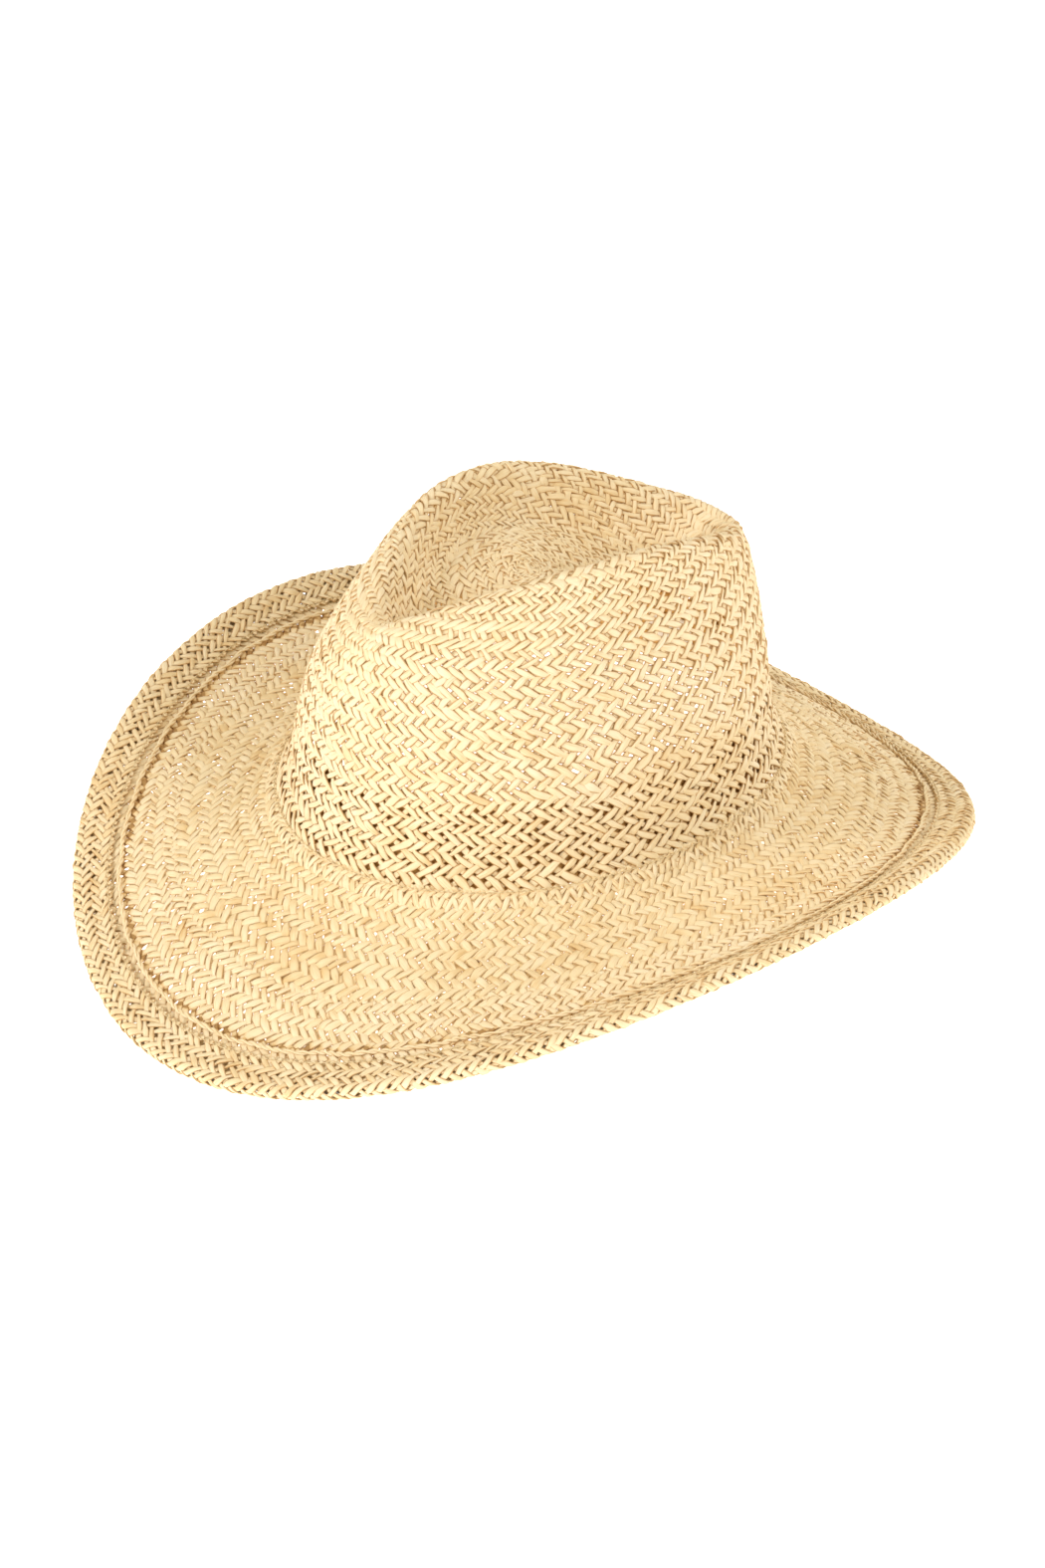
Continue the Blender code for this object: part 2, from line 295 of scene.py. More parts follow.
class Net:
    """The rows of the weave: lines of one station, with a count of turns from 0 at the back.

    Above the break a row keeps its share of the way from the dent's middle, so that rows are
    evenly spaced on the tall sides and at the low ends alike. Below it a row keeps its place.
    Turns count angles on the crown, and lengths round the brim and in the middle of the dent.
    """

    ROWS = 420
    COLUMNS = 721
    ANGLES_FROM = 0.055  # the station where turns begin to count angles
    ANGLES_WITHIN = 0.035

    def __init__(self):
        places = np.arange(0, HEM_END + 0.001, 0.02)
        angles = BACK + np.linspace(0, 2 * math.pi, 361)
        way = running_length(sheet_point(angles[None, :], places[:, None]), 0)
        mean_way = way.mean(1)
        break_station = float(np.interp(WEAVE_BREAK, places, mean_way))
        break_way = np.array([np.interp(WEAVE_BREAK, places, column) for column in way.T])

        self.stations = np.linspace(0, mean_way[-1], self.ROWS)
        share = np.minimum(self.stations / break_station, 1)
        columns = zip(break_way, way.T)
        upper = np.stack([np.interp(share * end, column, places) for end, column in columns], 1)
        lower = np.interp(self.stations, mean_way, places)[:, None]
        place = np.where(self.stations[:, None] < break_station, upper, lower)
        round_way = running_length(sheet_point(np.broadcast_to(angles, place.shape), place), 1)
        self.girth = round_way[:, -1]
        self.turns = np.linspace(0, 1, self.COLUMNS)
        self.angle = np.empty((len(place), len(self.turns)))
        self.place = np.empty_like(self.angle)
        on_crown = ease((self.stations - self.ANGLES_FROM) / self.ANGLES_WITHIN)
        on_crown = on_crown * (self.stations < break_station)
        for row in range(len(place)):
            by_length = np.interp(self.turns * self.girth[row], round_way[row], angles)
            by_angle = BACK + 2 * math.pi * self.turns
            self.angle[row] = by_length + (by_angle - by_length) * on_crown[row]
            self.place[row] = np.interp(self.angle[row], angles, place[row])

    def at(self, station, turn):
        """The angle and place there, for arrays of stations and turns that may pass 0 or 1."""
        whole = np.floor(turn)
        x = (turn - whole) * (len(self.turns) - 1)
        y = np.clip(station / self.stations[-1], 0, 1) * (len(self.stations) - 1)
        left = np.minimum(x.astype(int), len(self.turns) - 2)
        low = np.minimum(y.astype(int), len(self.stations) - 2)
        x, y = x - left, y - low
        found = []
        for table in (self.angle, self.place):
            upper = table[low, left] * (1 - x) + table[low, left + 1] * x
            lower = table[low + 1, left] * (1 - x) + table[low + 1, left + 1] * x
            found.append(upper * (1 - y) + lower * y)
        return found[0] + 2 * math.pi * whole, found[1]


NET = Net()


# ---------------------------------------------------------------- meshes


ROW_MARGIN = 0.05  # of a strand's row in the UV square, left empty at each side
# A strand's section, for a width and a thickness of 1
HEXAGON = np.array(
    [(0.5, 0.0), (0.30, 0.5), (-0.30, 0.5), (-0.5, 0.0), (-0.30, -0.5), (0.30, -0.5)]
)
# The swells of the rows: how high, how many round the hat, how far each station turns them, phase
SWELLS = ((0.0005, 5, 70, 0.0), (0.0003, 11, -110, 0.0), (0.00022, 23, 240, 1.0))


def add_piece(name, mesh, material, slot, *nodes):
    """Puts the mesh in the scene as a piece of the hat that stands for the CAD nodes."""
    mesh.materials.append(material)
    piece = bpy.data.objects.new(name, mesh)
    bpy.context.scene.collection.objects.link(piece)
    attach(piece, "root")
    if nodes:
        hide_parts(*nodes)
    return piece


def add_numbers(mesh, name, values):
    data = mesh.attributes.new(name, "FLOAT", "POINT").data
    data.foreach_set("value", values.astype(np.float32).ravel())


def add_vectors(mesh, name, values):
    data = mesh.attributes.new(name, "FLOAT_VECTOR", "POINT").data
    data.foreach_set("vector", values.astype(np.float32).ravel())


def strand_faces(strands, samples, corners, closed):
    """The faces along the sides of the strands, and those that close the ends of open ones."""
    index = np.arange(strands * samples * corners).reshape(strands, samples, corners)
    here = index if closed else index[:, :-1]
    ahead = np.roll(index, -1, axis=1) if closed else index[:, 1:]
    here_next = np.roll(here, -1, axis=2)
    ahead_next = np.roll(ahead, -1, axis=2)
    sides = np.stack([here, here_next, ahead_next, ahead], -1).reshape(-1, 4)
    caps = []
    if not closed:
        for low in range(1, corners - 2, 2):
            caps.append(index[:, 0][:, [0, low + 2, low + 1, low]])
            caps.append(index[:, -1][:, [0, low, low + 1, low + 2]])
    return sides, caps


def sweep(name, centre, lateral, normal, outline, tone, closed=False, relief=1.0):
    """A mesh of strands. centre, lateral and normal are (strand, sample, 3), and outline is
    (strand, sample, corner, 2), in metres along lateral and normal. The point attributes are
    fibre, which is the way along the strand and the place in its section, edge, which is 0 in
    the middle of a strand and relief at its sides, where the straw's material paints shade,
    and tone, a strand's own tone with any painted shade added to it."""
    strands, samples, corners = outline.shape[:3]
    points = (
        centre[:, :, None, :]
        + outline[..., :1] * lateral[:, :, None, :]
        + outline[..., 1:] * normal[:, :, None, :]
    )
    sides, caps = strand_faces(strands, samples, corners, closed)
    mesh = bpy.data.meshes.new(name)
    mesh.from_pydata(points.reshape(-1, 3), [], np.concatenate([sides, *caps]))
    mesh.shade_smooth()

    way = running_length(centre, 1) + rng.uniform(0, 9, (strands, 1))
    fibre = np.empty((strands, samples, corners, 3), np.float32)
    fibre[..., 0] = way[..., None]
    fibre[..., 1:] = outline
    aside = np.abs(outline[..., 0])
    add_numbers(mesh, "edge", relief * aside / aside.max(-1, keepdims=True))
    add_vectors(mesh, "fibre", fibre)
    add_numbers(mesh, "tone", np.broadcast_to(tone[..., None], (strands, samples, corners)))
    lay_out(mesh, strands, samples, corners, len(sides), closed)
    return mesh


def lay_out(mesh, strands, samples, corners, side_count, closed):
    """Gives each strand its own row of the UV square, so that no two parts of it share a spot.
    The ends of a strand take the spot of its first face."""
    spans = samples if closed else samples - 1
    strand, span, corner = np.meshgrid(
        np.arange(strands), np.arange(spans), np.arange(corners), indexing="ij"
    )
    u = np.stack([span, span, span + 1, span + 1], -1) / spans
    side = np.stack([corner, corner + 1, corner + 1, corner], -1) / corners
    v = (strand[..., None] + ROW_MARGIN + (1 - 2 * ROW_MARGIN) * side) / strands
    sides = np.stack([u, v], -1).reshape(-1, 2)
    rest = np.tile(sides[:1], (4 * (len(mesh.polygons) - side_count), 1))
    layer = mesh.uv_layers.new(name="OFBake")
    layer.data.foreach_set("uv", np.concatenate([sides, rest]).astype(np.float32).ravel())


def across_strands(centre, normal):
    """The directions across strands: sideways along the cloth, and out of it."""
    tangent = unit(np.gradient(centre, axis=1))
    lateral = unit(np.cross(normal, tangent))
    return lateral, np.cross(tangent, lateral)


def across_ring(points, normal):
    """The same for one closed ring of points."""
    tangent = unit(np.roll(points, -1, axis=0) - np.roll(points, 1, axis=0))
    lateral = unit(np.cross(normal, tangent))
    return lateral, np.cross(tangent, lateral)


def drift(position, count, step, spread):
    """Smooth random numbers: one new draw for each step of the position, for each strand."""
    knots = rng.normal(0, spread, (count, int(position.max() / step) + 3))
    at = np.maximum(position, 0) / step
    low = at.astype(int)
    strand = np.arange(count)[:, None]
    return knots[strand, low] + (knots[strand, low + 1] - knots[strand, low]) * ease(at - low)


def row_sway(station, turn):
    """How far a row strays along the cloth: a hand-shaped hood's rows are never quite level."""
    around = 2 * math.pi * turn
    sway = sum(
        size * np.sin(count * around + twist * station + phase)
        for size, count, twist, phase in SWELLS
    )
    return sway * ease((station - 0.02) / 0.03) * ease((HEM_STATION - 0.004 - station) / 0.02)


def crossing_levels(zone, stations):
    """How many of the other lay's strands one strand has crossed on its way to each station."""
    girth = np.interp(stations, NET.stations, NET.girth)
    slope = np.interp(stations, *zip(*SLOPES))
    per_metre = 2 * zone.count / (slope * girth)
    steps = (per_metre[1:] + per_metre[:-1]) / 2 * np.diff(stations)
    return np.concatenate([[0], np.cumsum(steps)])


def weave_height(level, station, over, at_end):
    """How far a strand's middle lies over the cloth's middle. The weave is pressed flatter round
    the fold, and a strand's ends are tucked under unless it ends with the hem."""
    count = len(level)
    height = WAVE * over * (1 + drift(level, count, SHORT_DRIFT, WAVE_DRIFT))
    pressed = FOLD_FLATTENING * np.exp(-(((station - FOLD_STATION) / FOLD_REACH) ** 2))
    height = height * (1 - pressed)
    height = height + drift(level, count, 3.0, LIE_DRIFT)
    if not at_end:
        dive = (level - level[:, -1:] + TUCK_CROSSINGS) / DIVE_CROSSINGS
        height = height - TUCK_DEPTH * ease(dive)
    return height - START_DEPTH * ease(level[:, :1] + 1.0 - level)


def weave_section(level, station, room, swing, at_end):
    """The outlines of a lay's strands: wide and flat on top, squeezed where they go under."""
    count = len(level)
    width = np.minimum(STRAND_WIDTH, np.interp(station, *zip(*FILLS)) * room)
    spread = rng.normal(0, STRAND_SPREAD, (count, 1))
    width = width * (1 + spread + drift(level, count, 1.0, WIDTH_DRIFT))
    width = width * (0.81 + 0.26 * np.abs(swing))
    ends = 1 - END_TAPER * ease(1 - 3 * (level - level[:, :1]))
    last_taper = HEM_TAPER if at_end else END_TAPER
    ends = ends * (1 - last_taper * ease(1 - 3 * (level[:, -1:] - level)))
    thickness = STRAND_THICKNESS * (0.90 + 0.14 * np.abs(swing)) * ends
    return HEXAGON * np.stack([width * ends, thickness], -1)[:, :, None, :]


def weave_tone(zone, level, angle, place, over):
    """Deeper from strand to strand, painted shade where one goes under and over a whole zone,
    and a painted shadow in the groove along the hem.
    """
    tone = rng.uniform(0.2, 0.65, (zone.count, 1))
    tone = tone + drift(level, zone.count, SHORT_DRIFT, TONE_DRIFT)
    # painted shade where a strand goes under, and over the whole zone by its depth
    tone = tone + UNDER_SHADE_TONE * ease(0.5 - over) + zone.depth
    # a painted shadow: a line of deeper tone in the groove along the hem's inner edge
    inset = (EDGE - place) * last_step(angle)
    groove = GROOVE_INSET + 0.0005 * np.sin(47 * angle) + drift(level, zone.count, 1.0, 0.0004)
    return tone + GROOVE_SHADOW_TONE * np.exp(-(((inset - groove) / GROOVE_WIDTH) ** 2))


def weave_lay(zone, lay):
    """One lay of strands: lay is 1 where they turn towards +angle, and -1 the other way."""
    at_end = zone.end == HEM_STATION
    stations = np.linspace(zone.start - 0.0015, zone.end + (0 if at_end else TUCK), 200)
    levels = crossing_levels(zone, stations)
    samples = int(levels[-1] * SAMPLES_PER_CROSSING) + 2
    first = rng.uniform(0, RAGGED_ENDS, (zone.count, 1))
    last = levels[-1] - rng.uniform(0, RAGGED_ENDS, (zone.count, 1)) * (0 if at_end else 1)
    level = first + (last - first) * np.linspace(0, 1, samples)[None, :]
    station = np.interp(level, levels, stations)

    number = np.arange(zone.count)[:, None]
    wander = sum(drift(level, zone.count, step, spread) for step, spread in SPACING_DRIFTS)
    turn = (number + zone.wander * wander + lay * level / 2) / zone.count
    angle, place = NET.at(station + row_sway(station, turn), turn)

    swing = np.cos(math.pi * (level - 0.5) / 2)
    over = lay * swing * np.sqrt((1 + SHARPNESS) / (swing**2 + SHARPNESS))
    height = weave_height(level, station, over, at_end)
    normal = sheet_normal(angle, place)
    centre = sheet_point(angle, place) + height[..., None] * normal
    tangent = unit(np.gradient(centre, axis=1))
    lateral = unit(np.cross(normal, tangent))
    roll = drift(level, zone.count, SHORT_DRIFT, ROLL_DRIFT)[..., None]
    lateral = unit(lateral + roll * np.cross(tangent, lateral))
    up = np.cross(tangent, lateral)

    slope = np.interp(station, *zip(*SLOPES))
    room = np.interp(station, NET.stations, NET.girth) / zone.count * slope / np.hypot(1, slope)
    outline = weave_section(level, station, room, swing, at_end)
    tone = weave_tone(zone, level, angle, place, over)
    return centre, lateral, up, outline, tone


def weave_zone(zone, material):
    """Both lays of a zone, each as one piece or, where they are long, as several."""
    for lay, lay_name in ((1, "right_lay"), (-1, "left_lay")):
        arrays = weave_lay(zone, lay)
        for part in range(zone.pieces):
            cut = slice(
                zone.count * part // zone.pieces, zone.count * (part + 1) // zone.pieces
            )
            name = f"straw_{zone.name}_{lay_name}"
            if zone.pieces > 1:
                name += f"_{part + 1}"
            mesh = sweep(name, *(array[cut] for array in arrays), relief=zone.relief)
            add_piece(name, mesh, material, "paper_straw", "woven_body")


def tip_star(material):
    """The strands that the weave starts from, laid across each other in the middle of the dent."""
    order = np.array([0, 5, 2, 7, 1, 6, 3, 4])[:, None]  # of the strands, from below
    count = len(order)
    samples = 13
    reach = np.linspace(-0.0085, 0.0085, samples)[None, :]
    heading = np.arange(count)[:, None] / count / 2 + rng.normal(0, 0.004, (count, 1))
    angle, place = NET.at(np.abs(reach), heading + np.where(reach < 0, 0.5, 0.0))
    height = (order - 3.5) * 0.00012 * np.ones_like(reach) - 0.0005 * ease(np.abs(reach) / 0.008)
    surface = sheet_point(angle, place)
    normal = unit(np.broadcast_to((0.0, 0.0, 1.0), surface.shape))
    centre = surface + height[..., None] * normal
    lateral, up = across_strands(centre, normal)
    size = np.broadcast_to((0.0022, 0.0006), (count, samples, 2))
    outline = HEXAGON * size[:, :, None, :]
    tone = rng.uniform(0.2, 0.8, (count, 1)) * np.ones((1, samples))
    mesh = sweep("straw_tip_star", centre, lateral, up, outline, tone)
    add_piece("straw_tip_star", mesh, material, "paper_straw", "woven_body")


def locking_row(material):
    """Short strands laid tight over the ends of the crown's strands, where the brim begins."""
    count = 236
    samples = 9
    flipped_share = 0.16
    share = np.linspace(-1, 1, samples)[None, :]
    number = np.arange(count)[:, None]
    middle = (number + rng.normal(0, 0.16, (count, 1))) * 2 * math.pi / count
    tilt = np.where(number % 2 == 0, 1, -1) * rng.uniform(0.5, 1.3, (count, 1))
    tilt = np.where(rng.uniform(0, 1, (count, 1)) < flipped_share, -tilt, tilt)
    half_place = rng.uniform(0.11, 0.17, (count, 1))
    place = WEAVE_BREAK + rng.normal(0, 0.018, (count, 1)) + half_place * share
    angle = middle + tilt * 0.016 * share
    height = 0.0011 - 0.0015 * share**2 + rng.normal(0, 0.00008, (count, 1))
    normal = sheet_normal(angle, place)
    centre = sheet_point(angle, place) + height[..., None] * normal
    lateral, up = across_strands(centre, normal)
    width = 0.0022 * (1 - 0.55 * share**4) * (1 + rng.normal(0, 0.08, (count, 1)))
    thickness = 0.00062 * (1 - 0.4 * share**4) * np.ones((count, 1))
    outline = HEXAGON * np.stack([width, thickness], -1)[:, :, None, :]
    tone = rng.uniform(0, 1, (count, 1)) * np.ones((1, samples))
    mesh = sweep("straw_locking_row", centre, lateral, up, outline, tone)
    add_piece("straw_locking_row", mesh, material, "paper_straw", "woven_body")


def ring(name, points, normal, corners, radius):
    """A closed tube round the hat."""
    samples = len(points)
    lateral, up = across_ring(points, normal)
    turn = 2 * math.pi * np.arange(corners) / corners
    radius = np.broadcast_to(radius, (samples, corners))
    outline = np.stack([radius * np.cos(turn), radius * np.sin(turn)], -1)
    tone = np.full((1, samples), 0.5)
    return sweep(name, points[None], lateral[None], up[None], outline[None], tone, closed=True)


def hem_edge_cord(material):
    """A loose two-ply cord that closes the hem's inner edge."""
    samples = 1600
    twists = 118
    ply_offset = 0.46 * EDGE_CORD_RADIUS
    angle = 2 * math.pi * np.arange(samples) / samples
    ply_radius = EDGE_CORD_RADIUS * (0.50 + 0.05 * np.sin(29 * angle + 1.3))
    twist = twists * angle + 0.8 * np.sin(23 * angle) + 0.6 * np.sin(41 * angle + 2.0)
    inset = HEM_WIDTH + 0.0002 + 0.00028 * np.sin(37 * angle) + 0.00016 * np.sin(61 * angle + 1.0)
    place = brim_place(angle, inset)
    height = CLOTH / 2 + 0.56 * EDGE_CORD_RADIUS + 0.00022 * np.sin(53 * angle)
    middle = lifted(angle, place, height)
    lateral, up = across_ring(middle, cloth_frame(angle, place)[2])
    turn = np.array([[0.0], [math.pi]]) + twist[None, :]
    away = np.cos(turn)[..., None] * lateral + 0.75 * np.sin(turn)[..., None] * up
    centre = middle + ply_offset * away
    corner = 2 * math.pi * np.arange(8) / 8
    size = ply_radius[None, :, None]
    outline = np.stack([size * 1.05 * np.cos(corner), size * 0.95 * np.sin(corner)], -1)
    outline = np.broadcast_to(outline, (2, *outline.shape[1:]))
    lateral, up = (np.broadcast_to(direction, centre.shape) for direction in (lateral, up))
    tone = np.full((2, samples), 0.5) + 0.2 * np.sin(turn)
    mesh = sweep("hem_cord", centre, lateral, up, outline, tone, closed=True)
    add_piece("hem_cord", mesh, material, "paper_cord", "hem_edge_cord")


def stitched_ring(name, points_at, normal_at, stitches, material, node, dip):
    """One thread of a row of lock stitches: it dips into the cloth at each needle hole."""
    samples = stitches * 8
    pulled_radius = THREAD_RADIUS * 0.65
    flat_from = 0.55  # of the phase, which is 0 at a hole and 1 halfway to the next
    angle = 2 * math.pi * np.arange(samples) / samples
    phase = np.abs(np.sin(stitches * angle / 2))
    fall = dip * (1 - ease(phase / flat_from))
    normal = normal_at(angle)
    points = points_at(angle) - fall[:, None] * normal
    mesh = ring(name, points, normal, 6, pulled_radius)
    return add_piece(name, mesh, material, "thread", node)


def slab(name, angle, place, depth, thickness, relief):
    """A thin strip of cloth on a grid of angles and places. depth is its middle's height over
    the cloth's middle, and relief (row, column) is added to both of its faces."""
    grid_angle, grid_place = np.meshgrid(angle, place)
    point, _, normal = cloth_frame(grid_angle, grid_place)
    faces = []
    rows, columns = grid_angle.shape
    outer = point + (depth + thickness / 2 + relief)[..., None] * normal
    inner = point + (depth - thickness / 2 - relief)[..., None] * normal
    points = np.concatenate([outer.reshape(-1, 3), inner.reshape(-1, 3)])
    index = np.arange(rows * columns).reshape(rows, columns)
    back = index + rows * columns

    def quad(*corners):
        faces.append(np.stack(corners, -1).reshape(-1, 4))

    quad(index[:-1, :-1], index[1:, :-1], index[1:, 1:], index[:-1, 1:])
    quad(back[:-1, :-1], back[:-1, 1:], back[1:, 1:], back[1:, :-1])
    quad(index[0, :-1], index[0, 1:], back[0, 1:], back[0, :-1])
    quad(index[-1, :-1], back[-1, :-1], back[-1, 1:], index[-1, 1:])
    quad(index[:-1, 0], back[:-1, 0], back[1:, 0], index[1:, 0])
    quad(index[:-1, -1], index[1:, -1], back[1:, -1], back[:-1, -1])
    mesh = bpy.data.meshes.new(name)
    mesh.from_pydata(points, [], np.concatenate(faces))
    mesh.shade_smooth()
    x = running_length(point, 1)
    y = running_length(point, 0)
    fibre = np.stack([x, y, np.zeros_like(x)], -1)
    add_vectors(mesh, "fibre", np.stack([fibre, fibre]))
    return mesh


def band_depth(over=0.0):
    """The height over the cloth's middle of the sweatband's middle, or of what is over it,
    towards the inside of the hat."""
    return -(CLOTH / 2 + LOOSE + BAND / 2 + over)


def sweatband(material):
    """A ribbed band: its cords run up and down, and its two edges are woven thicker."""
    ribs = 376
    columns_per_rib = 4
    columns = ribs * columns_per_rib
    angle = np.linspace(BACK + BAND_HALF_SLIT, BACK + 2 * math.pi - BAND_HALF_SLIT, columns + 1)
    share = np.array([0, 0.012, 0.04, 0.08, 0.12, 0.3, 0.5, 0.7, 0.88, 0.92, 0.96, 0.988, 1])
    place = BAND_HIGH + (BAND_LOW - BAND_HIGH) * share
    rib = 0.00007 * np.cos(2 * math.pi * np.arange(columns + 1) / columns_per_rib)
    edge = np.where((share < 0.09) | (share > 0.91), 0.00009, 0.0)
    ends = np.where((share < 0.005) | (share > 0.995), -0.00028, 0.0)
    relief = rib[None, :] + (edge + ends)[:, None] - 0.00008
    mesh = slab("sweatband_ribbed", angle, place, band_depth(), BAND, relief)
    return add_piece("sweatband_ribbed", mesh, material, "sweatband_cloth", "sweatband")


def patch(name, angles, places, depth, thickness, material, slot, node):
    """A small flat piece of cloth on the sweatband, a little thicker along its stitched border."""
    across = np.linspace(0, 1, 33)
    down = np.linspace(0, 1, 33)
    angle = angles[0] + (angles[1] - angles[0]) * across
    place = places[1] + (places[0] - places[1]) * down
    border = np.minimum.outer(np.minimum(down, 1 - down), np.minimum(across, 1 - across))
    relief = np.where(border < 0.02, -0.00018, 0.0) + 0.00006 * ease((0.14 - border) / 0.05)
    mesh = slab(name, angle, place, depth, thickness, relief)
    return add_piece(name, mesh, material, slot, node)


def open_tube(name, points, radius, material, slot, node, corners):
    """A tube with two ends. radius is a number, or one for each point."""
    samples = len(points)
    tangent = unit(np.gradient(points, axis=0))
    across = unit(np.cross(tangent, np.broadcast_to((0.0, 0.0, 1.0), tangent.shape)))
    up = np.cross(across, tangent)
    turn = 2 * math.pi * np.arange(corners) / corners
    radius = np.broadcast_to(np.reshape(radius, (-1, 1)), (samples, corners))
    outline = np.stack([radius * np.cos(turn), radius * np.sin(turn)], -1)
    tone = np.zeros((1, samples))
    mesh = sweep(name, points[None], across[None], -up[None], outline[None], tone)
    add_piece(name, mesh, material, slot, node)


def wire_and_joiner(wire_material, joiner_material):
    """The brim wire, open at the back, and the sleeve that is crimped twice over its ends."""
    reach = np.linalg.norm(wire_point(np.array([BACK]))[0, :2])
    half_joiner = JOINER_LENGTH / 2 / reach
    half_opening = half_joiner + GAP / reach
    angle = BACK + np.linspace(half_opening, 2 * math.pi - half_opening, 361)
    open_tube(
        "brim_spring_wire", wire_point(angle), WIRE_RADIUS, wire_material, "wire", "brim_wire", 10
    )
    share = np.linspace(-1, 1, 41)
    crimp = 1 - 0.14 * np.exp(-(((np.abs(share) - 0.45) / 0.10) ** 2))
    crimp = crimp * np.where(np.abs(share) > 0.99, 0.90, 1.0)
    open_tube(
        "wire_sleeve",
        wire_point(BACK + half_joiner * share),
        JOINER_RADIUS * crimp,
        joiner_material,
        "joiner",
        "wire_joiner",
        16,
    )


# ---------------------------------------------------------------- materials


STRAW_PALE = (0.95, 0.84, 0.62)
STRAW_MIDDLE = (0.92, 0.77, 0.50)
STRAW_DEEP = (0.79, 0.57, 0.28)
GROOVE_SHADOW_BROWN = (0.44, 0.26, 0.10)  # painted shadow on the strands in the groove along the hem
# painted shade on a strand's sides, where they turn down to its neighbours
SIDE_SHADE_BROWN = (0.60, 0.37, 0.15)


class Nodes:
    """A short way to write a material's nodes."""

    def __init__(self, name):
        self.material = bpy.data.materials.new(name)
        self.material.use_nodes = True
        self.tree = self.material.node_tree
        self.shader = self.tree.nodes["Principled BSDF"]

    def add(self, kind, **inputs):
        """A node of that kind. Inputs are its sockets, with underscores for the spaces in their
        names, or with i0 for the first, i1 for the second and so on."""
        node = self.tree.nodes.new(kind)
        for key, value in inputs.items():
            self.set(node, key, value)
        return node

    def set(self, node, key, value):
        socket = node.inputs[int(key[1:])] if key[:1] == "i" and key[1:].isdigit() else None
        socket = socket or node.inputs[key.replace("_", " ")]
        if isinstance(value, bpy.types.NodeSocket):
            self.tree.links.new(value, socket)
        else:
            socket.default_value = value

    def attribute(self, name, output):
        node = self.tree.nodes.new("ShaderNodeAttribute")
        node.attribute_name = name
        return node.outputs[output]

    def scaled(self, vector, scale):
        node = self.add("ShaderNodeVectorMath", i0=vector, i1=scale)
        node.operation = "MULTIPLY"
        return node.outputs[0]

    def noise(self, vector, scale, detail=2.0, roughness=0.5):
        node = self.add(
            "ShaderNodeTexNoise", Vector=vector, Scale=scale, Detail=detail, Roughness=roughness
        )
        return node.outputs["Fac"]

    def remap(self, value, low, high, to_low, to_high, clamp=True):
        node = self.add(
            "ShaderNodeMapRange",
            Value=value,
            From_Min=low,
            From_Max=high,
            To_Min=to_low,
            To_Max=to_high,
        )
        node.clamp = clamp
        return node.outputs[0]

    def maths(self, operation, first, second):
        node = self.add("ShaderNodeMath", i0=first, i1=second)
        node.operation = operation
        return node.outputs[0]

    def ramp(self, value, *stops):
        node = self.add("ShaderNodeValToRGB", Fac=value)
        elements = node.color_ramp.elements
        while len(elements) < len(stops):
            elements.new(0.5)
        for element, (position, color) in zip(elements, stops):
            element.position = position
            element.color = (*color, 1)
        return node.outputs[0]

    def mix(self, share, first, second, blend="MIX"):
        node = self.tree.nodes.new("ShaderNodeMix")
        node.data_type = "RGBA"
        node.blend_type = blend
        for index, value in ((0, share), (6, first), (7, second)):
            if isinstance(value, bpy.types.NodeSocket):
                self.tree.links.new(value, node.inputs[index])
            else:
                node.inputs[index].default_value = value if index == 0 else (*value, 1)
        return node.outputs[2]

    def bump(self, height, strength, distance):
        node = self.add("ShaderNodeBump", Height=height, Strength=strength, Distance=distance)
        self.set(self.shader, "Normal", node.outputs[0])


def straw_material(name, shade):
    """Twisted paper: fine creases along each strand, with painted shade in them, and strands of
    slightly unlike tone. Shade is how much painted shade darkens a strand's sides, where they
    turn down to its neighbours."""
    nodes = Nodes(name)
    fibre = nodes.attribute("fibre", "Vector")
    tone = nodes.attribute("tone", "Fac")
    place = nodes.add("ShaderNodeTexCoord").outputs["Object"]
    crease = nodes.noise(nodes.scaled(fibre, (90.0, 2600.0, 2600.0)), 1.0, 3.0, 0.6)
    blotch = nodes.noise(nodes.scaled(fibre, (160.0, 300.0, 300.0)), 1.0, 2.0)
    patchy = nodes.noise(place, 28.0, 2.0)
    value = nodes.remap(tone, 0, 1, 0.12, 0.55, clamp=False)
    value = nodes.maths("ADD", value, nodes.remap(blotch, 0.3, 0.7, -0.1, 0.2))
    value = nodes.maths("ADD", value, nodes.remap(patchy, 0.35, 0.65, -0.08, 0.12))
    color = nodes.ramp(
        value, (0.0, STRAW_PALE), (0.5, STRAW_MIDDLE), (0.92, STRAW_DEEP), (1.0, GROOVE_SHADOW_BROWN)
    )
    # painted shade in the creases along each strand
    crease_shade = nodes.remap(crease, 0.30, 0.46, 0.55, 0.0)
    color = nodes.mix(crease_shade, color, STRAW_DEEP, "MULTIPLY")
    # painted shade on a strand's sides, where they turn down to its neighbours
    side_shade = nodes.remap(nodes.attribute("edge", "Fac"), 0.66, 1.0, 0.0, shade)
    color = nodes.mix(side_shade, color, SIDE_SHADE_BROWN, "MULTIPLY")
    nodes.set(nodes.shader, "Base Color", color)
    nodes.set(nodes.shader, "Roughness", nodes.remap(crease, 0.3, 0.7, 0.78, 0.56))
    nodes.set(nodes.shader, "Specular_IOR_Level", 0.32)
    nodes.bump(crease, 0.45, 0.00022)
    return nodes.material


